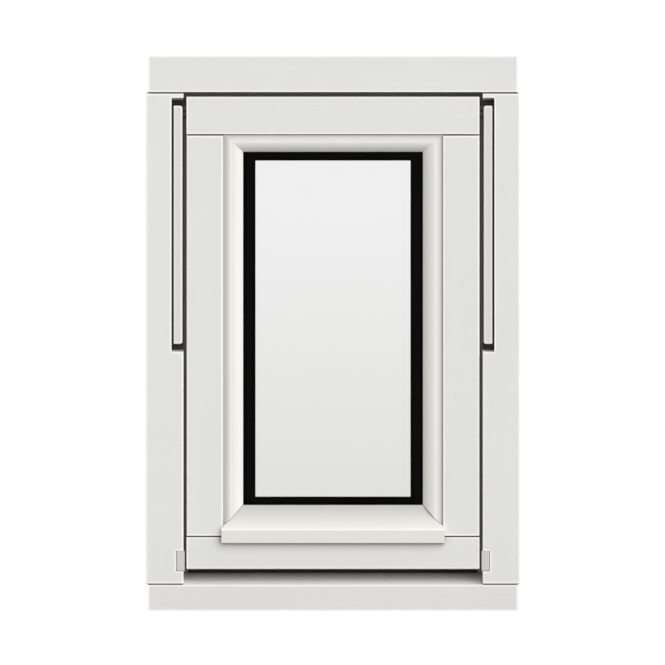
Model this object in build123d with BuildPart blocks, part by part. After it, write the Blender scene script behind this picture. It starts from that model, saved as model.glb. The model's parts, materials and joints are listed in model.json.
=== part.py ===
from build123d import *
import os

# An outward-opening timber top swing window, closed.
# X runs along the wall, Y from outside into the room, and Z up from the underside of the sill.
# Sizes are in millimetres. A "face" is a width seen from outside.

# Frame
FRAME_WIDTH = 444.0  # head and sill, end to end
FRAME_HEIGHT = 666.0
FRAME_DEPTH = 105.0
JAMB_PROUD = 2.5  # jambs stand past the ends of the head and the sill
HEAD_FACE = 44.0
JAMB_FACE = 45.0
SILL_FACE = 30.5
SILL_RISE = 14.5  # weathered slope of the sill, from its front edge
SILL_SLOPE_DEPTH = 45.0  # and how far in it runs, before a level part
HEAD_STOP = 17.0  # how far each stop reaches in from the rebate
JAMB_STOP = 15.0
SILL_STOP = 16.0
ARRIS = 1.2  # eased outer edges of frame and sash
ROOM_ARRIS = 3.0  # eased edges of the stops on the room side
FINE_ARRIS = 0.6  # eased edges beside the glazing beads
JOINT_GAP = 1.9  # groove where an upright meets the head, the sill or a rail
JOINT_DEPTH = 4.0

# Screw holes through the jambs, with a recess for a cover cap
FIXING_RADIUS = 3.25
FIXING_INSET = 42.0  # from the outer face of the frame
FIXING_END = 150.0  # from the top and the bottom of the frame
CAP_RADIUS = 7.0
CAP_DEPTH = 12.0

# Weather seal in a groove of the stop
SEAL_GAP = 4.5  # between the sash and the stop
SEAL_INSET = 5.5  # from the edge of the stop to the middle of the seal
SILL_SEAL_INSET = 12.0  # the same at the sill, where the seal lies lower
SEAL_STEM = 3.0
SEAL_STEM_DEPTH = 6.5
SEAL_BULB = 7.0
SEAL_ROUND = 1.8
SEAL_CLEARANCE = 0.3

# Guide blocks let into the feet of the jambs
BLOCK_WIDTH = 10.3
BLOCK_HEIGHT = 24.8
BLOCK_DEPTH = 22.0
BLOCK_FOOT = 47.0  # underside, above the underside of the sill
BLOCK_PROUD = 1.4  # past the edge of the jamb, into the gap
BLOCK_SETBACK = 0.5
BLOCK_ROUND = 1.0  # edges towards the sash
BLOCK_EASE = 2.0  # outer and lower edges of its face

# Sash
SASH_DEPTH = 58.0
SASH_SETBACK = 2.0  # behind the outer face of the frame
SIDE_GAP = 3.8
HEAD_GAP = 5.3
SILL_GAP = 4.7
STILE_FACE = 43.7
TOP_RAIL_FACE = 45.1
BOTTOM_RAIL_FACE = 38.2
REBATE_FALL = 9.0  # slope of the bottom rebate, which drains outwards
RAIL_GROOVE_RADIUS = 2.5  # drip groove under the bottom rail
RAIL_GROOVE_INSET = 10.0
ROOM_BEVEL = 7.0  # bevel round the glass on the room side

# Sealed glass unit and its bedding
PANE = 4.0
CAVITY = 16.0
EDGE_COVER = 15.0  # glass hidden behind the beads
SPACER_SIDE = 14.9  # black edge seen inside the beads
SPACER_TOP = 10.5
SPACER_BOTTOM = 10.1
SPACER_INSET = 1.0  # from the edges of the panes
GASKET = 3.0
GASKET_WIDTH = 10.0
GASKET_SETBACK = 1.0
SETTING_BLOCK_HEIGHT = 6.0
SETTING_BLOCK_LENGTH = 60.0
SETTING_BLOCK_END = 25.0  # from the side edges of the glass

# Glazing beads
BEAD_DEPTH = 13.0  # from the face of the sash back to the outer gasket
SIDE_BEAD = 24.1
TOP_BEAD = 21.2
BOTTOM_BEAD = 38.7
BEAD_SETBACK = 1.0  # crown of a bead, behind the face of the sash
BEAD_FALL = 6.5  # from the crown of a bead back to its edge at the glass
BEAD_ROUND_FALL = 2.0  # from the crown of a bead back to its edge at the sash
BEAD_CROWN_SHARE = 0.62  # of a bead's width, from the glass to its crown
SCRIBE_TO_CROWN = 17.8  # how far a side bead's foot runs down from the glass to its crown
SCRIBE_TO_STILE = 24.6  # and from the glass to the stile
SCRIBE_GAP = 0.6  # open joint under the foot

# Slope and drip nose of the bottom bead
SLOPE_START = 0.3  # how far forward the slope sets out at the glass, for each mm down
NOSE_PROUD = 5.5  # in front of the sash
NOSE_RISE = 8.3  # shoulder, above the top of the bottom rail
NOSE_LAP = 6.9  # over the face of the bottom rail
NOSE_ROUND = 1.8
NOSE_HORN = 2.0  # past the side beads at each end
NOSE_HORN_RISE = 4.0
NOSE_HORN_ROUND = 1.6
NOSE_GROOVE_RADIUS = 1.3
NOSE_GROOVE_INSET = 3.0

# Swing arms in the slots of the jambs
SLOT_WIDTH = 14.3
SLOT_DEPTH = 30.0
SLOT_LENGTH = 305.3
SLOT_TOP_INSET = 6.6  # below the head
SLOT_RUNOUT = 5.0  # slope at each end
SLOT_ROUND = 1.5
SLOT_CORNER = 1.5  # along the wall of the slot, and the bend of the plate that lies in it
ARM_WIDTH = 10.5
ARM_DEPTH = 20.0
ARM_SETBACK = 2.0
ARM_INSET = 1.3  # from the edge of the jamb
ARM_END_GAP = 9.7  # from the ends of the slot
ARM_ROUND = 3.0  # corners towards the sash
ARM_BACK_ROUND = 1.5  # corners towards the jamb
ARM_ARRIS = 1.0
PIVOT_RADIUS = 4.0
PIVOT_CLEARANCE = 0.15
PIVOT_END = 10.0  # from the end of the arm
PIVOT_BACK = 6.0  # from the back of the arm
PIVOT_SHORT = 1.0  # studs stop short of the far side of the arm
HINGE_PLATE = 2.0
HINGE_PLATE_LAP = 6.0  # in front of the pivots
HINGE_PLATE_END = 1.8  # from the ends of the slot's back
PIVOT_PLATE = 2.5
PIVOT_PLATE_DEPTH = 14.0
PIVOT_PLATE_LENGTH = 36.0

# Handle on the room side of the bottom rail
HANDLE_BASE_LENGTH = 68.0
HANDLE_BASE_HEIGHT = 30.0
HANDLE_BASE_DEPTH = 9.0
HANDLE_BASE_EASE = 2.0
HANDLE_RISE = 43.0  # spindle, above the bottom of the sash
HANDLE_NECK_RADIUS = 9.0
HANDLE_NECK_LENGTH = 16.0
LEVER_LENGTH = 105.0
LEVER_ROOT_RADIUS = 11.5
LEVER_TIP_RADIUS = 8.0
LEVER_THICKNESS = 11.0
LEVER_EASE = 2.5

# Depths, from outside to the room
frame_out = -FRAME_DEPTH / 2
frame_in = FRAME_DEPTH / 2
sash_out = frame_out + SASH_SETBACK
sash_in = sash_out + SASH_DEPTH
stop_face = sash_in + SEAL_GAP
bead_back = sash_out + BEAD_DEPTH
outer_pane_front = bead_back + GASKET
spacer_front = outer_pane_front + PANE
inner_pane_front = spacer_front + CAVITY
inner_pane_back = inner_pane_front + PANE
glass_seat = inner_pane_back + GASKET

# Half widths, from the middle of the window
frame_half = FRAME_WIDTH / 2
jamb_out = frame_half + JAMB_PROUD
jamb_in = jamb_out - JAMB_FACE
jamb_stop_edge = jamb_in - JAMB_STOP
sash_half = jamb_in - SIDE_GAP
stile_in = sash_half - STILE_FACE
sight_half = stile_in - SIDE_BEAD
crown_half = sight_half + BEAD_CROWN_SHARE * SIDE_BEAD
glass_half = sight_half + EDGE_COVER

# Heights, from the underside of the sill
sill_back = SILL_FACE + SILL_RISE
sill_stop_edge = sill_back + SILL_STOP
sash_bottom = sill_back + SILL_GAP
rebate_floor = sash_bottom + BOTTOM_RAIL_FACE
sight_bottom = rebate_floor + BOTTOM_BEAD
head_low = FRAME_HEIGHT - HEAD_FACE
head_stop_edge = head_low - HEAD_STOP
sash_top = head_low - HEAD_GAP
rebate_top = sash_top - TOP_RAIL_FACE
sight_top = rebate_top - TOP_BEAD
glass_top = sight_top + EDGE_COVER


def floor_at(y):
    """Height of the sloping bottom rebate at a depth"""
    return rebate_floor + REBATE_FALL * (y - sash_out) / (glass_seat - sash_out)


glass_bottom = floor_at(inner_pane_back) + SETTING_BLOCK_HEIGHT


def wall_plane(y):
    """A plane parallel to the wall at a depth, with X and Z as its own axes"""
    return Plane.XZ.offset(-y)


def section(plane, points, rounds=()):
    """A closed outline on a plane. rounds holds (corner, radius) pairs"""
    with BuildSketch(plane) as outline:
        with BuildLine():
            Polyline(*points, close=True)
        make_face()
        for corner, radius in rounds:
            fillet(outline.vertices().sort_by_distance(corner)[0], radius)
    return outline.sketch


def ring(y, half_width, low, high, outer, inner):
    """A rectangular ring parallel to the wall, outer and inner from a line round the opening"""
    with BuildSketch(wall_plane(y)) as outline:
        with Locations((0, (low + high) / 2)):
            Rectangle(2 * (half_width + outer), high - low + 2 * outer)
            Rectangle(2 * (half_width - inner), high - low - 2 * inner, mode=Mode.SUBTRACT)
    return outline.sketch


def block(low, high, mode=Mode.ADD):
    """A plain block between two corners, in the part that is being made"""
    middle = tuple((a + b) / 2 for a, b in zip(low, high))
    with Locations(middle):
        Box(*[b - a for a, b in zip(low, high)], mode=mode)


def into_room(sketch, depth, mode=Mode.ADD):
    """Extrudes a sketch that is parallel to the wall towards the room"""
    extrude(sketch, amount=depth, dir=(0, 1, 0), mode=mode)


def joint_groove(inner, outer, face, low):
    """Cuts the groove at an end of an upright, upwards from a height"""
    block((inner, face, low), (outer, face + JOINT_DEPTH, low + JOINT_GAP), mode=Mode.SUBTRACT)


# Line of the weather seal, round the stop
seal_half = jamb_stop_edge + SEAL_INSET
seal_low = sill_stop_edge - SILL_SEAL_INSET
seal_high = head_stop_edge + SEAL_INSET
seal_stem = ring(stop_face, seal_half, seal_low, seal_high, SEAL_STEM / 2, SEAL_STEM / 2)

# Head
head_outline = [
    (frame_out, head_low),
    (stop_face, head_low),
    (stop_face, head_stop_edge),
    (frame_in, head_stop_edge),
    (frame_in, FRAME_HEIGHT),
    (frame_out, FRAME_HEIGHT),
]
head_rounds = [
    ((frame_out, head_low), FINE_ARRIS),
    ((frame_out, FRAME_HEIGHT), FINE_ARRIS),
    ((frame_in, head_stop_edge), ROOM_ARRIS),
]
with BuildPart() as frame_head:
    extrude(section(Plane.YZ, head_outline, head_rounds), amount=frame_half, both=True)
    into_room(seal_stem, SEAL_STEM_DEPTH, Mode.SUBTRACT)

# Sill, its top weathered to the front
sill_outline = [
    (frame_out, 0),
    (frame_out, SILL_FACE),
    (frame_out + SILL_SLOPE_DEPTH, sill_back),
    (stop_face, sill_back),
    (stop_face, sill_stop_edge),
    (frame_in, sill_stop_edge),
    (frame_in, 0),
]
sill_rounds = [
    ((frame_out, SILL_FACE), ARRIS),
    ((frame_in, sill_stop_edge), ROOM_ARRIS),
]
with BuildPart() as frame_sill:
    extrude(section(Plane.YZ, sill_outline, sill_rounds), amount=frame_half, both=True)
    into_room(seal_stem, SEAL_STEM_DEPTH, Mode.SUBTRACT)

# Slot for a swing arm, running out to the face of the jamb at both ends
slot_out = jamb_in + SLOT_WIDTH
slot_back = frame_out + SLOT_DEPTH
slot_top = head_low - SLOT_TOP_INSET
slot_bottom = slot_top - SLOT_LENGTH
slot_outline = [
    (frame_out, slot_bottom),
    (slot_back, slot_bottom + SLOT_RUNOUT),
    (slot_back, slot_top - SLOT_RUNOUT),
    (frame_out, slot_top),
]
slot_rounds = [
    ((slot_back, slot_bottom + SLOT_RUNOUT), SLOT_ROUND),
    ((slot_back, slot_top - SLOT_RUNOUT), SLOT_ROUND),
]
with BuildPart() as arm_slot:
    extrude(section(Plane.YZ.offset(jamb_in), slot_outline, slot_rounds), amount=SLOT_WIDTH)
    slot_wall = arm_slot.faces().sort_by(Axis.X)[-1]
    slot_ends = slot_wall.edges().sort_by(Axis.Z)
    fillet([slot_ends[0], slot_ends[-1]], SLOT_CORNER)

# Jamb, scribed between head and sill, with its arm slot, guide block notch and screw holes
block_top = BLOCK_FOOT + BLOCK_HEIGHT
block_out = jamb_in - BLOCK_PROUD + BLOCK_WIDTH
block_front = frame_out + BLOCK_SETBACK
block_back = block_front + BLOCK_DEPTH
fixing_heights = [FIXING_END, FRAME_HEIGHT - FIXING_END]
jamb_outline = [
    (jamb_out, frame_out),
    (jamb_out, frame_in),
    (jamb_stop_edge, frame_in),
    (jamb_stop_edge, stop_face),
    (jamb_in, stop_face),
    (jamb_in, frame_out),
]
jamb_rounds = [
    ((jamb_out, frame_out), FINE_ARRIS),
    ((jamb_in, frame_out), ARRIS),
    ((jamb_stop_edge, frame_in), ROOM_ARRIS),
]
with BuildPart() as frame_jamb_right:
    extrude(section(Plane.XY, jamb_outline, jamb_rounds), amount=FRAME_HEIGHT)
    for outline in (head_outline, sill_outline):
        extrude(section(Plane.YZ, outline), amount=FRAME_WIDTH, mode=Mode.SUBTRACT)
    for groove_low in (SILL_FACE, head_low - JOINT_GAP):
        joint_groove(jamb_in, jamb_out, frame_out, groove_low)
    into_room(seal_stem, SEAL_STEM_DEPTH, Mode.SUBTRACT)
    add(arm_slot.part, mode=Mode.SUBTRACT)
    block(
        (jamb_in, frame_out, BLOCK_FOOT),
        (block_out, block_back, block_top),
        mode=Mode.SUBTRACT,
    )
    fixing_points = [(jamb_in, frame_out + FIXING_INSET, z) for z in fixing_heights]
    with Locations(*[Plane(p, x_dir=(0, 1, 0), z_dir=(-1, 0, 0)) for p in fixing_points]):
        CounterBoreHole(FIXING_RADIUS, CAP_RADIUS, CAP_DEPTH, JAMB_FACE)

# Weather seal: a stem in the groove, and a bulb that the sash closes against
with BuildPart() as frame_seal:
    bulb_height = SEAL_GAP - SEAL_CLEARANCE
    bulb = ring(
        stop_face - bulb_height, seal_half, seal_low, seal_high, SEAL_BULB / 2, SEAL_BULB / 2
    )
    into_room(bulb, bulb_height)
    fillet(frame_seal.faces().sort_by(Axis.Y)[0].edges(), SEAL_ROUND)
    into_room(seal_stem, SEAL_STEM_DEPTH)

# Guide block
with BuildPart() as guide_block_right:
    block(
        (jamb_in - BLOCK_PROUD, block_front, BLOCK_FOOT),
        (block_out, block_back, block_top),
    )
    block_face = guide_block_right.faces().sort_by(Axis.Y)[0].edges()
    fillet([block_face.sort_by(Axis.X)[-1], block_face.sort_by(Axis.Z)[0]], BLOCK_EASE)
    fillet(guide_block_right.faces().sort_by(Axis.X)[0].edges(), BLOCK_ROUND)

# Swing arm, with a pivot hole at each end
arm_in = jamb_in + ARM_INSET
arm_out = arm_in + ARM_WIDTH
arm_front = frame_out + ARM_SETBACK
arm_back = arm_front + ARM_DEPTH
arm_top = slot_top - ARM_END_GAP
arm_bottom = slot_bottom + ARM_END_GAP
pivot_y = arm_back - PIVOT_BACK
pivot_heights = (arm_bottom + PIVOT_END, arm_top - PIVOT_END)
with BuildPart() as hinge_arm_right:
    block((arm_in, arm_front, arm_bottom), (arm_out, arm_back, arm_top))
    arm_corners = hinge_arm_right.edges().filter_by(Axis.Y).group_by(Axis.X)
    fillet(arm_corners[0], ARM_ROUND)
    fillet(arm_corners[-1], ARM_BACK_ROUND)
    chamfer(hinge_arm_right.faces().sort_by(Axis.Y)[0].edges(), ARM_ARRIS)
    with Locations(*[Plane((arm_out, pivot_y, z), z_dir=(1, 0, 0)) for z in pivot_heights]):
        Hole(PIVOT_RADIUS + PIVOT_CLEARANCE)

# Bent plate on the back and the wall of the slot, with the stud that carries the foot of the arm
plate_face = slot_out - HINGE_PLATE
plate_low = slot_bottom + SLOT_RUNOUT + HINGE_PLATE_END
plate_high = slot_top - SLOT_RUNOUT - HINGE_PLATE_END
with BuildPart() as hinge_plate_right:
    block((plate_face, pivot_y - HINGE_PLATE_LAP, plate_low), (slot_out, slot_back, plate_high))
    block((arm_in, slot_back - HINGE_PLATE, plate_low), (slot_out, slot_back, plate_high))
    plate_bend = hinge_plate_right.edges().filter_by(Axis.Z).group_by(Axis.X)[-1].sort_by(Axis.Y)[-1]
    fillet(plate_bend, SLOT_CORNER)
    with BuildSketch(Plane((plate_face, pivot_y, pivot_heights[0]), z_dir=(-1, 0, 0))):
        Circle(PIVOT_RADIUS)
    extrude(amount=plate_face - arm_in - PIVOT_SHORT)

# Stud plate let into the end of the sash's top rail, which the head of the arm carries
pivot_plate_low = (
    sash_half - PIVOT_PLATE,
    pivot_y - PIVOT_PLATE_DEPTH / 2,
    pivot_heights[1] - PIVOT_PLATE_LENGTH / 2,
)
pivot_plate_high = (
    sash_half,
    pivot_y + PIVOT_PLATE_DEPTH / 2,
    pivot_heights[1] + PIVOT_PLATE_LENGTH / 2,
)
with BuildPart() as sash_pivot_right:
    block(pivot_plate_low, pivot_plate_high)
    with BuildSketch(Plane((sash_half, pivot_y, pivot_heights[1]), z_dir=(1, 0, 0))):
        Circle(PIVOT_RADIUS)
    extrude(amount=arm_out - PIVOT_SHORT - sash_half)

# Bevel round the glass on the room side of the sash
with BuildPart() as room_bevel:
    sight_middle = (0, (sight_bottom + sight_top) / 2)
    for y, spread in ((sash_in - ROOM_BEVEL, 0), (sash_in, ROOM_BEVEL)):
        with BuildSketch(wall_plane(y)):
            with Locations(sight_middle):
                Rectangle(2 * (sight_half + spread), sight_top - sight_bottom + 2 * spread)
    loft()

# Top rail of the sash, full width
top_rail_outline = [
    (sash_out, rebate_top),
    (glass_seat, rebate_top),
    (glass_seat, sight_top),
    (sash_in, sight_top),
    (sash_in, sash_top),
    (sash_out, sash_top),
]
top_rail_rounds = [
    ((sash_out, rebate_top), FINE_ARRIS),
    ((sash_out, sash_top), ARRIS),
    ((sash_in, sash_top), ARRIS),
]
with BuildPart() as sash_top_rail:
    extrude(section(Plane.YZ, top_rail_outline, top_rail_rounds), amount=sash_half, both=True)
    add(room_bevel.part, mode=Mode.SUBTRACT)
    add(sash_pivot_right.part, mode=Mode.SUBTRACT)
    mirror(sash_pivot_right.part, about=Plane.YZ, mode=Mode.SUBTRACT)

# Bottom rail of the sash, full width, with a drained rebate and a drip groove
bottom_rail_outline = [
    (sash_out, sash_bottom),
    (sash_out, rebate_floor),
    (glass_seat, floor_at(glass_seat)),
    (glass_seat, sight_bottom),
    (sash_in, sight_bottom),
    (sash_in, sash_bottom),
]
bottom_rail_rounds = [
    ((sash_out, sash_bottom), ARRIS),
    ((sash_in, sash_bottom), ARRIS),
]
with BuildPart() as sash_bottom_rail:
    extrude(
        section(Plane.YZ, bottom_rail_outline, bottom_rail_rounds), amount=sash_half, both=True
    )
    add(room_bevel.part, mode=Mode.SUBTRACT)
    with BuildSketch(Plane.YZ):
        with Locations((sash_out + RAIL_GROOVE_INSET, sash_bottom)):
            Circle(RAIL_GROOVE_RADIUS)
    extrude(amount=sash_half, both=True, mode=Mode.SUBTRACT)

# Stile of the sash, its ends scribed to the rails
stile_outline = [
    (sash_half, sash_out),
    (sash_half, sash_in),
    (sight_half, sash_in),
    (sight_half, glass_seat),
    (stile_in, glass_seat),
    (stile_in, sash_out),
]
stile_rounds = [
    ((sash_half, sash_out), ARRIS),
    ((sash_half, sash_in), ARRIS),
    ((stile_in, sash_out), FINE_ARRIS),
]
with BuildPart() as sash_stile_right:
    stile_foot = Plane.XY.offset(sash_bottom)
    extrude(section(stile_foot, stile_outline, stile_rounds), amount=sash_top - sash_bottom)
    for outline in (top_rail_outline, bottom_rail_outline):
        extrude(section(Plane.YZ, outline), amount=FRAME_WIDTH, mode=Mode.SUBTRACT)
    for groove_low in (rebate_floor, rebate_top - JOINT_GAP):
        joint_groove(stile_in, sash_half, sash_out, groove_low)
    add(room_bevel.part, mode=Mode.SUBTRACT)

# Joint of a side bead's foot with the bottom bead, seen from outside: by the crown to the stile
scribe_low = sight_bottom - SCRIBE_TO_STILE
scribe = [
    (sight_half, sight_bottom),
    (crown_half, sight_bottom - SCRIBE_TO_CROWN),
    (stile_in, scribe_low),
]

# Bottom bead: a hollow slope from the glass to a drip nose, with a horn at each end
nose_front = sash_out - NOSE_PROUD
nose_shoulder = rebate_floor + NOSE_RISE
nose_low = rebate_floor - NOSE_LAP
horn_half = stile_in + NOSE_HORN
horn_top = nose_shoulder + NOSE_HORN_RISE
slope_top = sash_out + BEAD_SETBACK + BEAD_FALL
horn_corner = (horn_half, horn_top)
bottom_bead_half = scribe + [(stile_in, horn_top), horn_corner, (horn_half, nose_low)]
bottom_bead_front = section(
    wall_plane(nose_front),
    bottom_bead_half + [(-x, z) for x, z in reversed(bottom_bead_half)],
    [(horn_corner, NOSE_HORN_ROUND), ((-horn_half, horn_top), NOSE_HORN_ROUND)],
)
with BuildPart() as glazing_bead_bottom:
    with BuildSketch(Plane.YZ) as bottom_bead_outline:
        with BuildLine():
            slope = TangentArc(
                (slope_top, sight_bottom), (nose_front, nose_shoulder), tangent=(-SLOPE_START, -1)
            )
            Polyline(
                slope @ 1,
                (nose_front, nose_low),
                (sash_out, nose_low),
                (sash_out, rebate_floor),
                (bead_back, floor_at(bead_back)),
                (bead_back, sight_bottom),
                slope @ 0,
            )
        make_face()
        nose_corners = bottom_bead_outline.vertices().group_by(Axis.X)[0].sort_by(Axis.Y)
        fillet(nose_corners[-1], NOSE_ROUND)
        fillet(nose_corners[0], FINE_ARRIS)
        with Locations((nose_front + NOSE_GROOVE_INSET, nose_low)):
            Circle(NOSE_GROOVE_RADIUS, mode=Mode.SUBTRACT)
    extrude(amount=horn_half, both=True)
    into_room(bottom_bead_front, bead_back - nose_front, Mode.INTERSECT)
    for horn_x in (-horn_half, stile_in):
        block(
            (horn_x, sash_out, nose_low),
            (horn_x + NOSE_HORN, bead_back, horn_top),
            mode=Mode.SUBTRACT,
        )


def bead_section(plane, width):
    """A moulded bead: out from the glass, and forward from its back, with a round each side of its crown"""
    crown = (BEAD_CROWN_SHARE * width, BEAD_DEPTH - BEAD_SETBACK)
    quirk = (width, crown[1] - BEAD_ROUND_FALL)
    edge = (0, crown[1] - BEAD_FALL)
    with BuildSketch(plane) as outline:
        with BuildLine():
            TangentArc(crown, edge, tangent=(-1, 0))
            TangentArc(crown, quirk, tangent=(1, 0))
            Polyline(quirk, (width, 0), (0, 0), edge)
        make_face()
    return outline.sketch


def mitre(side):
    """Plane of a top corner's mitre, facing the side bead: side is 1 on the right and -1 on the left"""
    return Plane(
        (side * sight_half, 0, sight_top),
        x_dir=(0, 1, 0),
        z_dir=(side * TOP_BEAD, 0, -SIDE_BEAD),
    )


# Side bead, mitred at the top and with its foot scribed to the bottom bead
with BuildPart() as glazing_bead_right:
    side_plane = Plane((sight_half, bead_back, rebate_top), x_dir=(1, 0, 0), z_dir=(0, 0, -1))
    extrude(bead_section(side_plane, SIDE_BEAD), amount=rebate_top - scribe_low)
    split(bisect_by=mitre(1), keep=Keep.TOP)
    foot_line = [(x, z + SCRIBE_GAP) for x, z in scribe]
    foot_waste = foot_line + [(stile_in, scribe_low), (sight_half, scribe_low)]
    into_room(section(wall_plane(sash_out), foot_waste), BEAD_DEPTH, Mode.SUBTRACT)

# Top bead, mitred at both ends
with BuildPart() as glazing_bead_top:
    top_plane = Plane((0, bead_back, sight_top), x_dir=(0, 0, 1), z_dir=(1, 0, 0))
    extrude(bead_section(top_plane, TOP_BEAD), amount=stile_in, both=True)
    for side in (1, -1):
        split(bisect_by=mitre(side), keep=Keep.BOTTOM)

# Panes of the sealed unit
with BuildPart() as glass_outer_pane:
    block((-glass_half, outer_pane_front, glass_bottom), (glass_half, spacer_front, glass_top))
with BuildPart() as glass_inner_pane:
    block((-glass_half, inner_pane_front, glass_bottom), (glass_half, inner_pane_back, glass_top))

# Black spacer and edge seal between the panes
with BuildPart() as glass_spacer:
    block(
        (-glass_half + SPACER_INSET, spacer_front, glass_bottom + SPACER_INSET),
        (glass_half - SPACER_INSET, inner_pane_front, glass_top - SPACER_INSET),
    )
    block(
        (-sight_half + SPACER_SIDE, spacer_front, sight_bottom + SPACER_BOTTOM),
        (sight_half - SPACER_SIDE, inner_pane_front, sight_top - SPACER_TOP),
        mode=Mode.SUBTRACT,
    )

# Gaskets on both sides of the glass
gasket_outer_edge = GASKET_SETBACK + GASKET_WIDTH
with BuildPart() as glazing_gasket_outer:
    outer_gasket = ring(
        bead_back, sight_half, sight_bottom, sight_top, gasket_outer_edge, -GASKET_SETBACK
    )
    into_room(outer_gasket, GASKET)
with BuildPart() as glazing_gasket_inner:
    inner_gasket = ring(
        inner_pane_back, sight_half, sight_bottom, sight_top, gasket_outer_edge, -GASKET_SETBACK
    )
    into_room(inner_gasket, GASKET)

# Pair of wedge-footed setting blocks under the glass
with BuildPart() as setting_blocks:
    setting_outline = [
        (outer_pane_front, floor_at(outer_pane_front)),
        (inner_pane_back, floor_at(inner_pane_back)),
        (inner_pane_back, glass_bottom),
        (outer_pane_front, glass_bottom),
    ]
    setting_start = Plane.YZ.offset(glass_half - SETTING_BLOCK_END - SETTING_BLOCK_LENGTH)
    extrude(section(setting_start, setting_outline), amount=SETTING_BLOCK_LENGTH)
    mirror(about=Plane.YZ)

# Base of the handle
handle_height = sash_bottom + HANDLE_RISE
handle_seat = sash_in + HANDLE_BASE_DEPTH
with BuildPart() as handle_base:
    with BuildSketch(wall_plane(sash_in)) as base_outline:
        with Locations((0, handle_height)):
            SlotOverall(HANDLE_BASE_LENGTH, HANDLE_BASE_HEIGHT)
    into_room(base_outline.sketch, HANDLE_BASE_DEPTH)
    chamfer(handle_base.faces().sort_by(Axis.Y)[-1].edges(), HANDLE_BASE_EASE)

# Lever of the handle, lying along the rail on its neck
with BuildPart() as handle_lever:
    with BuildSketch(wall_plane(handle_seat)) as neck_outline:
        with Locations((0, handle_height)):
            Circle(HANDLE_NECK_RADIUS)
    into_room(neck_outline.sketch, HANDLE_NECK_LENGTH)
    with BuildSketch(wall_plane(handle_seat + HANDLE_NECK_LENGTH)) as lever_outline:
        with Locations((0, handle_height)):
            Circle(LEVER_ROOT_RADIUS)
        with Locations((-LEVER_LENGTH, handle_height)):
            Circle(LEVER_TIP_RADIUS)
        make_hull()
    into_room(lever_outline.sketch, LEVER_THICKNESS)
    chamfer(handle_lever.faces().sort_by(Axis.Y)[-1].edges(), LEVER_EASE)

# Pieces of the window, the left ones mirrored from the right ones
pieces = {
    "frame_head": frame_head,
    "frame_sill": frame_sill,
    "frame_seal": frame_seal,
    "sash_top_rail": sash_top_rail,
    "sash_bottom_rail": sash_bottom_rail,
    "glazing_bead_top": glazing_bead_top,
    "glazing_bead_bottom": glazing_bead_bottom,
    "glass_outer_pane": glass_outer_pane,
    "glass_inner_pane": glass_inner_pane,
    "glass_spacer": glass_spacer,
    "glazing_gasket_outer": glazing_gasket_outer,
    "glazing_gasket_inner": glazing_gasket_inner,
    "setting_blocks": setting_blocks,
    "handle_base": handle_base,
    "handle_lever": handle_lever,
}
handed_pieces = {
    "frame_jamb": frame_jamb_right,
    "guide_block": guide_block_right,
    "hinge_arm": hinge_arm_right,
    "hinge_plate": hinge_plate_right,
    "sash_pivot": sash_pivot_right,
    "sash_stile": sash_stile_right,
    "glazing_bead": glazing_bead_right,
}
for name, right_piece in handed_pieces.items():
    with BuildPart() as left_piece:
        mirror(right_piece.part, about=Plane.YZ)
    pieces[name + "_right"] = right_piece
    pieces[name + "_left"] = left_piece

os.makedirs("parts", exist_ok=True)
for name, piece in pieces.items():
    piece.part.label = name
    export_step(piece.part, f"parts/{name}.step")
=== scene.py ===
import json
from math import pi, radians

import bpy
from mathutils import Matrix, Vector


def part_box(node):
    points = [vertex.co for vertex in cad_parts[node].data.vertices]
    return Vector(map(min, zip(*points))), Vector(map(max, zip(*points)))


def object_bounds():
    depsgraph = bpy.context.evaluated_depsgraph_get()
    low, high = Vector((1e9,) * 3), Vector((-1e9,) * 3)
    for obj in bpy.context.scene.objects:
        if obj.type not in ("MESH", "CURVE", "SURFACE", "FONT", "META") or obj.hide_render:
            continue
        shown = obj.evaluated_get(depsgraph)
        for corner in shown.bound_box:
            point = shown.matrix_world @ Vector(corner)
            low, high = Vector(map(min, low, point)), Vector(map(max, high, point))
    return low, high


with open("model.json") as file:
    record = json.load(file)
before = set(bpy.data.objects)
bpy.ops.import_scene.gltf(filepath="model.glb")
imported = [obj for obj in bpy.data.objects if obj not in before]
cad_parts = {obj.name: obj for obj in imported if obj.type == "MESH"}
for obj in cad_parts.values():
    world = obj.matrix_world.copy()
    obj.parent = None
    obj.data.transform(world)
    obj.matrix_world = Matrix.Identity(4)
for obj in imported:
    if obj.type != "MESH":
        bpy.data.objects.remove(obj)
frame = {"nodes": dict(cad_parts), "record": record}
cad_low, cad_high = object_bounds()
nodes = frame["nodes"]

GREEN_LOSS = 0.2  # green that a warmer tone loses, as a share of the blue that it loses


def tone(level, warmth=0.0):
    """A grey, made a little warmer by taking blue and some green away"""
    return (level, level - GREEN_LOSS * warmth, level - warmth, 1.0)


def shaded(colour, factor):
    """A colour made lighter or darker"""
    return tuple(channel * factor for channel in colour[:3]) + (1.0,)


# Lengths are in metres, patterns in waves a metre, and depths are behind the outer face of the frame

# View: a straight elevation from outside, at the photograph's scale
METRES_PER_PIXEL = 0.0012
IMAGE_PIXELS = 665
VIEW_CENTRE = (-0.0006, 0.3336)  # across and up, at the middle of the image
CAMERA_DISTANCE = 3.0

# Light, at the level where a pale colour facing the camera renders as it is written
SKY_LEVEL = 0.58  # even light from above
GROUND_LEVEL = 0.27  # and from below, back from the floor
HORIZON = 0.1  # half height of the band where one fades into the other
SUNS = {  # level as a share of full daylight, direction from the window, and spread
    "key": (0.825, Vector((0.64, -0.61, 0.46)), radians(70)),
    "fill": (0.075, Vector((0, -1, 0)), radians(2)),  # straight into the gaps
    "room": (0.68, Vector((-0.60, 0.76, 0.25)), radians(60)),  # on the room side
}
FLOOR = tone(0.9)
FLOOR_ROUGHNESS = 0.9
FLOOR_SIZE = 12.0
FLOOR_DROP = 0.0002  # below the sill, so that the two faces don't meet

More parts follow.
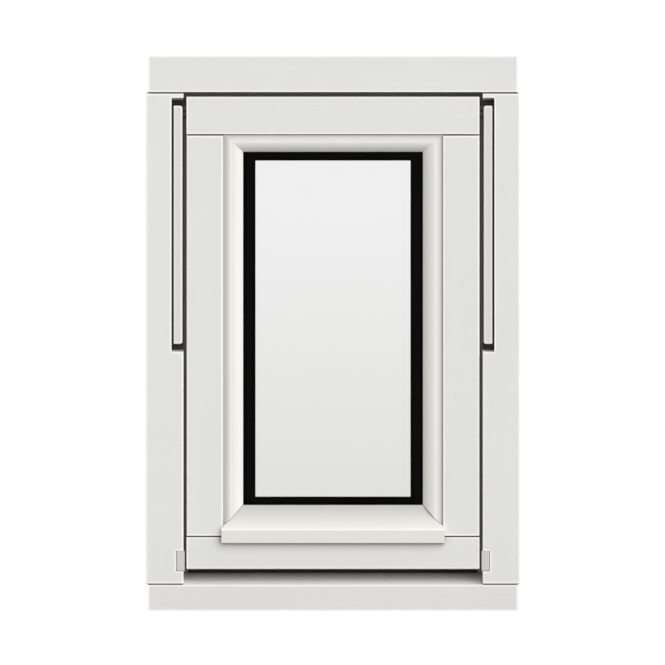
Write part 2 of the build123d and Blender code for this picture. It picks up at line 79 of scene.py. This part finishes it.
# Paint: the beads and the sill are a little warmer than the flat members
PAINT = tone(0.748, 0.015)
SILL_PAINT = tone(0.745, 0.034)
BEAD_PAINT = tone(0.785, 0.058)
NOSE_PAINT = tone(0.757, 0.046)  # bottom bead
PAINT_ROUGHNESS = (0.48, 0.6)
BRUSH_ALONG, BRUSH_ACROSS, BRUSH_BUMP = 14, 900, 0.00003
GRAIN_ALONG, GRAIN_ACROSS, GRAIN_BUMP = 3.5, 300, 0.00005
GRAIN_SHARE = 0.02  # how much darker the paint is over the grain
PEEL, PEEL_BUMP = 420, 0.00002  # orange peel
SAG = 9
SAG_SHARE = 0.01  # how much lighter and darker the paint is where it has sagged

# Wear, dust, painted highlights and painted shade on the paint
RUBBED_AND_HIGHLIGHT_PAINT = tone(0.95, 0.02)  # lighter paint: worn thin on the arrises, where it is also a painted highlight, and a painted highlight along the crowns
EDGE_REACH = 0.003
AT_ARRIS, ON_FLAT = 0.7, 0.97  # share of the probes that stay inside the piece, at an arris with the full lighter paint and on a flat
CROWN_HIGHLIGHT_WIDTH = 0.0018  # half width of the painted highlight along a crown or a shoulder
CROWN_SHARE = 0.4  # and how strong it is
SHADE_PAINT = tone(0.50, 0.04)  # painted shade: darker paint on the beads' outer rounds beside the sash, and on the bottom bead's slope under the glass
UNDER_BEAD_SHADE_SHARE = 0.4  # share of the painted shade on the top bead's slope, reached at the glass
DUST_DEPTH = 0.0005  # dust lies on the very top, and makes it matt

# Dark paint: dirt in the joints, and painted shade in the gaps, the inside corners and the arm slots
DIRT_AND_SHADE = tone(0.15, 0.09)
PROBES = 8
JOINT_REACH = 0.008
JOINT_FULL, JOINT_BARE = 0.2, 0.6  # openness where a joint or gap is fully darkened, and where it is not darkened
JOINT_DARKEST_DEPTH, JOINT_FADING_DEPTH, HEAD_FADING_DEPTH = 0.006, 0.010, 0.20  # depths where the darkening is full, and where it has faded to its deeper share
JOINT_DEEP = 0.6  # share of the darkening, dirt and painted shade, that reaches deeper
# painted shade in inside corners, chiefly the shadow under the bottom bead's nose
CORNER_REACH = 0.012
CORNER_FULL, CORNER_BARE = 0.5, 0.96  # openness, as in a joint
CORNER_SHARE = 0.5
SLOT_SHADE_START, SLOT_SHADE_FULL = 0.002, 0.034  # depths where the painted shade starts and where it is full
SLOT_EDGE = 0.001  # how far the slot's painted shade fades past its walls
SLOT_END = 0.008  # from the foot of the hinge plate to the foot of the slot

# Glass, with painted shading that is pale at the head and greyer towards the sill
GLASS_HIGH, GLASS_LOW = tone(0.932), tone(0.868, 0.008)
GLASS_HIGH_AT, GLASS_LOW_AT = 0.47, 0.14  # heights
GLASS_INDEX = 1.12  # as if coated against reflections
GLASS_GLOSS = 0.1

# Moulded and coated pieces: colour, roughness, grain, its bump, and the colour of paler edges, partly worn
# and partly a painted highlight, if any
COATS = {
    "black_spacer": (tone(0.002), 0.6, 900, 0.00002, None),
    "black_rubber": (tone(0.062, 0.018), 0.7, 1500, 0.00002, None),
    "grey_plastic": (tone(0.6, 0.045), 0.5, 1800, 0.00001, None),
    # the arm's paler edges are partly wear and partly a painted highlight
    "coated_arm": (tone(0.68, 0.04), 0.45, 1400, 0.00001, tone(0.9, 0.02)),
    # the hinge plates are near black, and lining the arm slots they also stand in as painted shade there
    "dark_steel": (tone(0.012, 0.003), 0.45, 1200, 0.00001, None),
    "pivot_steel": (tone(0.09, 0.02), 0.45, 1200, 0.00001, None),
    "satin_handle": (tone(0.6, 0.01), 0.35, 1600, 0.00001, None),
}
COAT_SHARE = 0.03  # how much lighter and darker the grain makes them
COAT_SPREAD = 0.05  # and how much smoother and rougher

# Places on the frame and the beads
ROUND_WIDTH = 0.009  # outer round of a bead, from the sash to its crown
HOLLOW_HEIGHT = 0.028  # slope of the bottom bead
NOSE_DROP = 0.0295  # from the glass down to the shoulder of the nose
frame_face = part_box("frame_head")[0].y
plate_low, plate_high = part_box("hinge_plate_right")
hollow_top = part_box("glazing_bead_bottom")[1].z
hollow_low = hollow_top - HOLLOW_HEIGHT
nose_shoulder = hollow_top - NOSE_DROP
glass_top, rail_edge = (corner.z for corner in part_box("glazing_bead_top"))
rail_crown = rail_edge - ROUND_WIDTH
stile_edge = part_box("glazing_bead_right")[1].x
stile_crown = stile_edge - ROUND_WIDTH


class Graph:
    """A node tree, with short calls to add to it"""

    def __init__(self, tree):
        self.tree = tree

    def add(self, kind, **settings):
        """A new node. Settings are its own properties"""
        node = self.tree.nodes.new(kind)
        for key, value in settings.items():
            setattr(node, key, value)
        return node

    def link(self, output, socket):
        self.tree.links.new(output, socket)

    def component(self, vector, axis):
        """The X, Y or Z of a vector"""
        axes = self.add("ShaderNodeSeparateXYZ")
        self.link(vector, axes.inputs["Vector"])
        return axes.outputs[axis]

    def math(self, operation, *values):
        """A sum of outputs and numbers"""
        node = self.add("ShaderNodeMath", operation=operation)
        for socket, value in zip(node.inputs, values):
            if isinstance(value, float):
                socket.default_value = value
            else:
                self.link(value, socket)
        return node.outputs["Value"]

    def spread(self, value, low, high, start=0.3, stop=0.7):
        """Maps a value between start and stop to low and high. Noise lies mostly between their defaults"""
        node = self.add("ShaderNodeMapRange")
        for key, number in zip(("From Min", "From Max", "To Min", "To Max"), (start, stop, low, high)):
            node.inputs[key].default_value = number
        self.link(value, node.inputs["Value"])
        return node.outputs["Result"]


class Surface(Graph):
    """A node material with one Principled shader"""

    def __init__(self, name):
        self.material = bpy.data.materials.new(name)
        self.material.use_nodes = True
        super().__init__(self.material.node_tree)
        self.shader = self.tree.nodes["Principled BSDF"]
        self.place = self.add("ShaderNodeTexCoord").outputs["Object"]

    def set(self, **values):
        """Constants on the shader's own sockets, named with underscores"""
        for key, value in values.items():
            self.shader.inputs[key.replace("_", " ")].default_value = value

    def colour(self, output):
        """Links the colour of the surface"""
        self.link(output, self.shader.inputs["Base Color"])

    def along(self, axis):
        """Distance along the frame's own X, Y or Z"""
        return self.component(self.place, axis)

    def noise(self, scale, detail=2.0):
        """Noise with its own scale along X, Y and Z"""
        mapping = self.add("ShaderNodeMapping")
        mapping.inputs["Scale"].default_value = scale
        self.link(self.place, mapping.inputs["Vector"])
        texture = self.add("ShaderNodeTexNoise")
        texture.inputs["Scale"].default_value = 1.0
        texture.inputs["Detail"].default_value = detail
        self.link(mapping.outputs["Vector"], texture.inputs["Vector"])
        return texture.outputs["Fac"]

    def openness(self, reach, **settings):
        """1 in the open, a half in a square corner and 0 deep in a joint"""
        light = self.add("ShaderNodeAmbientOcclusion", samples=PROBES, **settings)
        light.inputs["Distance"].default_value = reach
        return light.outputs["AO"]

    def edge_highlight_and_wear(self):
        """1 along the outer edges and 0 on flats and in corners, by how thin the piece is there. It places
        paler paint, partly wear and partly a painted highlight
        """
        body = self.openness(EDGE_REACH, inside=True, only_local=True)
        return self.spread(body, 1, 0, AT_ARRIS, ON_FLAT)

    def mix(self, factor, first, second):
        """A colour between two, each a colour or an output"""
        node = self.add("ShaderNodeMix", data_type="RGBA")
        self.link(factor, node.inputs["Factor"])
        for socket, colour in ((node.inputs["A"], first), (node.inputs["B"], second)):
            if isinstance(colour, tuple):
                socket.default_value = colour
            else:
                self.link(colour, socket)
        return node.outputs["Result"]

    def mottle(self, noise, colour, share):
        """A colour that a noise makes darker and lighter by a share"""
        return self.mix(self.spread(noise, 0, 1), shaded(colour, 1 - share), shaded(colour, 1 + share))

    def soil_and_shade(self, coat, mask):
        """Matt dark paint over a coat, where the mask is 1: dirt in joints, and painted shade in gaps,
        corners and slots
        """
        roughness = self.shader.inputs["Roughness"]
        self.link(self.math("MAXIMUM", roughness.links[0].from_socket, mask), roughness)
        return self.mix(mask, coat, DIRT_AND_SHADE)

    def bump(self, height, distance, under=None):
        """A bump on the shader's normal, over another one where given"""
        node = self.add("ShaderNodeBump")
        node.inputs["Strength"].default_value = 1.0
        node.inputs["Distance"].default_value = distance
        self.link(height, node.inputs["Height"])
        if under is not None:
            self.link(under, node.inputs["Normal"])
        self.link(node.outputs["Normal"], self.shader.inputs["Normal"])
        return node.outputs["Normal"]


def drawn_out(upright, along, across):
    """The scale of a pattern that runs along an upright or a level member"""
    return (across, across, along) if upright else (along, across, across)


def painted_timber(name, colour, upright):
    """Satin paint over planed timber, brushed along the grain. Gives the surface and its colour's output"""
    paint = Surface(name)
    marks = paint.noise(drawn_out(upright, BRUSH_ALONG, BRUSH_ACROSS))
    grain = paint.noise(drawn_out(upright, GRAIN_ALONG, GRAIN_ACROSS), detail=3.0)
    sag = paint.noise((SAG, SAG, SAG))
    orange_peel = paint.noise((PEEL, PEEL, PEEL), detail=1.0)
    dust = paint.spread(paint.along("Z"), 0, 1, cad_high.z - DUST_DEPTH, cad_high.z)
    roughness = paint.math("MAXIMUM", paint.spread(marks, *PAINT_ROUGHNESS), dust)
    paint.link(roughness, paint.shader.inputs["Roughness"])
    peeled = paint.bump(orange_peel, PEEL_BUMP)
    brushed = paint.bump(marks, BRUSH_BUMP, under=peeled)
    paint.bump(grain, GRAIN_BUMP, under=brushed)
    thick = paint.mottle(sag, colour, SAG_SHARE)
    thin = paint.mottle(sag, shaded(colour, 1 - GRAIN_SHARE), SAG_SHARE)
    return paint, paint.mix(paint.spread(grain, 1, 0), thick, thin)


def slot_shade(paint):
    """Painted shade: 1 deep in the arm slots, and 0 at their mouths and past their back, walls and foot"""
    depth = paint.along("Y")
    darkness = paint.spread(depth, 0, 1, frame_face + SLOT_SHADE_START, frame_face + SLOT_SHADE_FULL)
    limits = (
        (depth, plate_high.y, SLOT_EDGE),
        (paint.math("ABSOLUTE", paint.along("X")), plate_high.x, SLOT_EDGE),
        (paint.along("Z"), plate_low.z - SLOT_END, -SLOT_EDGE),
    )
    for place, edge, fade in limits:
        darkness = paint.math("MULTIPLY", darkness, paint.spread(place, 1, 0, edge + fade / 2, edge + fade))
    return darkness


def member(name, colour, upright=False, fade_from=JOINT_FADING_DEPTH, corner_shade=False, slotted=False):
    """A painted flat member: paler arrises, partly wear and partly a painted highlight; dirt in its joints
    and painted shade in its gaps; and painted shade in its inside corners and arm slot
    """
    paint, coat = painted_timber(name, colour, upright)
    # lighter paint on the arrises: partly wear, partly a painted highlight
    coat = paint.mix(paint.edge_highlight_and_wear(), coat, RUBBED_AND_HIGHLIGHT_PAINT)
    darkest_depth, fading_depth = frame_face + JOINT_DARKEST_DEPTH, frame_face + fade_from
    outside = paint.spread(paint.along("Y"), 1, JOINT_DEEP, darkest_depth, fading_depth)
    # dirt in the joints, and painted shade deep in the gaps around the sash
    joints = paint.spread(paint.openness(JOINT_REACH), 1, 0, JOINT_FULL, JOINT_BARE)
    coat = paint.soil_and_shade(coat, paint.math("MULTIPLY", joints, outside))
    # painted shade in inside corners, such as the shadow under the nose
    if corner_shade:
        corners = paint.spread(paint.openness(CORNER_REACH), CORNER_SHARE, 0, CORNER_FULL, CORNER_BARE)
        coat = paint.soil_and_shade(coat, paint.math("MULTIPLY", corners, outside))
    # painted shade in the arm slots
    if slotted:
        coat = paint.soil_and_shade(coat, slot_shade(paint))
    paint.colour(coat)
    return paint.material


def bead(name, colour, axis, crown, shade_span, shade_to=None):
    """A painted bead, by places on the axis across it, which count the same both sides of the middle

    The crown has a painted highlight, a stretch has painted shade, and where a place is given there is
    painted shade from the crown to it.
    """
    paint, coat = painted_timber(name, colour, upright=axis == "X")
    place = paint.math("ABSOLUTE", paint.along(axis))
    # painted shade over a stretch, such as the outer round beside the sash and the bottom bead's slope
    coat = paint.mix(paint.spread(place, 0, 1, *shade_span), coat, SHADE_PAINT)
    # painted shade on the top bead's slope, deepening from the crown to the glass
    if shade_to is not None:
        coat = paint.mix(paint.spread(place, 0, UNDER_BEAD_SHADE_SHARE, crown, shade_to), coat, SHADE_PAINT)
    off_crown = paint.math("ABSOLUTE", paint.math("SUBTRACT", place, crown))
    # painted highlight along the crown or the nose's shoulder
    coat = paint.mix(paint.spread(off_crown, CROWN_SHARE, 0, 0, CROWN_HIGHLIGHT_WIDTH), coat, RUBBED_AND_HIGHLIGHT_PAINT)
    paint.colour(coat)
    return paint.material


def glass(name):
    """Clear low-reflection glass, with painted shading: a grey cast that deepens downwards"""
    pane = Surface(name)
    # painted shading, paler at the head
    fade = pane.spread(pane.along("Z"), 1, 0, GLASS_LOW_AT, GLASS_HIGH_AT)
    pane.colour(pane.mix(fade, GLASS_HIGH, GLASS_LOW))
    pane.set(Roughness=0.0, IOR=GLASS_INDEX, Transmission_Weight=1.0, Specular_IOR_Level=GLASS_GLOSS)
    return pane.material


def coated(name, colour, roughness, grain, height, edge):
    """A moulded or coated surface with a fine grain, and paler edges where a colour is given, partly wear
    and partly a painted highlight
    """
    coat = Surface(name)
    speckle = coat.noise((grain, grain, grain))
    tint = coat.mottle(speckle, colour, COAT_SHARE)
    if edge is not None:
        # paler edges: partly wear, partly a painted highlight
        tint = coat.mix(coat.edge_highlight_and_wear(), tint, edge)
    coat.colour(tint)
    rough = coat.spread(speckle, roughness - COAT_SPREAD, roughness + COAT_SPREAD)
    coat.link(rough, coat.shader.inputs["Roughness"])
    coat.bump(speckle, height)
    return coat.material


def own_finishes(pivot_steel):
    """Finishes of the nodes that don't take their slot's"""
    level_paint = member("level_paint", PAINT, fade_from=HEAD_FADING_DEPTH, corner_shade=True)
    stile_paint = member("stile_paint", PAINT, upright=True)
    jamb_paint = member("jamb_paint", PAINT, upright=True, slotted=True)
    sill_paint = member("sill_paint", SILL_PAINT)
    top_bead_paint = bead("top_bead_paint", BEAD_PAINT, "Z", rail_crown, (rail_crown, rail_edge), glass_top)
    side_bead_paint = bead("side_bead_paint", BEAD_PAINT, "X", stile_crown, (stile_crown, stile_edge))
    nose_paint = bead("nose_paint", NOSE_PAINT, "Z", nose_shoulder, (hollow_low, hollow_top))
    return {
        "frame_head": level_paint,
        "frame_jamb_left": jamb_paint,
        "frame_jamb_right": jamb_paint,
        "frame_sill": sill_paint,
        "sash_top_rail": level_paint,
        "sash_bottom_rail": level_paint,
        "sash_stile_left": stile_paint,
        "sash_stile_right": stile_paint,
        "glazing_bead_top": top_bead_paint,
        "glazing_bead_bottom": nose_paint,
        "glazing_bead_left": side_bead_paint,
        "glazing_bead_right": side_bead_paint,
        "sash_pivot_left": pivot_steel,
        "sash_pivot_right": pivot_steel,
    }


def finish_nodes():
    """Gives each node its own finish, or else its slot's"""
    finishes = {name: coated(name, *settings) for name, settings in COATS.items()}
    finishes["clear_glass"] = glass("clear_glass")
    own = own_finishes(finishes["pivot_steel"])
    for subpart in frame["record"]["subparts"]:
        name = subpart["node"]
        finish = own[name] if name in own else finishes[subpart["material_slot"]]
        nodes[name].data.materials.clear()
        nodes[name].data.materials.append(finish)


def make_floor():
    """A floor that takes shadows. The light that it would give back is the world's own, so it is even"""
    bpy.ops.mesh.primitive_plane_add(size=FLOOR_SIZE, location=(0, 0, -FLOOR_DROP))
    floor = bpy.context.object
    floor.name = "floor"
    floor.visible_diffuse = False
    surface = Surface("pale_floor")
    surface.set(Base_Color=FLOOR, Roughness=FLOOR_ROUGHNESS, Specular_IOR_Level=0.0)
    floor.data.materials.append(surface.material)


def make_world():
    """White where it is seen, straight or in metal and glass, and a sky over a darker ground as light"""
    world = bpy.data.worlds.new("studio")
    world.use_nodes = True
    bpy.context.scene.world = world
    sky = Graph(world.node_tree)
    background = sky.tree.nodes["Background"]
    background.inputs["Color"].default_value = tone(1.0)
    rise = sky.component(sky.add("ShaderNodeTexCoord").outputs["Generated"], "Z")
    level = sky.spread(rise, GROUND_LEVEL, SKY_LEVEL, -HORIZON, HORIZON)
    path = sky.add("ShaderNodeLightPath")
    for ray in ("Is Camera Ray", "Is Glossy Ray", "Is Transmission Ray"):
        level = sky.math("MAXIMUM", level, path.outputs[ray])
    sky.link(level, background.inputs["Strength"])


def make_suns():
    """The suns. Only the key is mirrored, and none is seen through glass"""
    for name, (level, direction, spread) in SUNS.items():
        light = bpy.data.lights.new(name, "SUN")
        light.energy = level * pi
        light.angle = spread
        sun = bpy.data.objects.new(name, light)
        sun.rotation_mode = "QUATERNION"
        sun.rotation_quaternion = direction.to_track_quat("Z", "Y")
        sun.visible_glossy = name == "key"
        sun.visible_transmission = False
        bpy.context.scene.collection.objects.link(sun)


def make_camera():
    data = bpy.data.cameras.new("elevation")
    data.type = "ORTHO"
    data.ortho_scale = METRES_PER_PIXEL * IMAGE_PIXELS
    camera = bpy.data.objects.new("elevation", data)
    across, up = VIEW_CENTRE
    camera.location = (across, -CAMERA_DISTANCE, up)
    camera.rotation_euler = (radians(90), 0, 0)
    bpy.context.scene.collection.objects.link(camera)
    bpy.context.scene.camera = camera


finish_nodes()
make_floor()
make_world()
make_suns()
make_camera()
bpy.context.scene.view_settings.view_transform = "Standard"
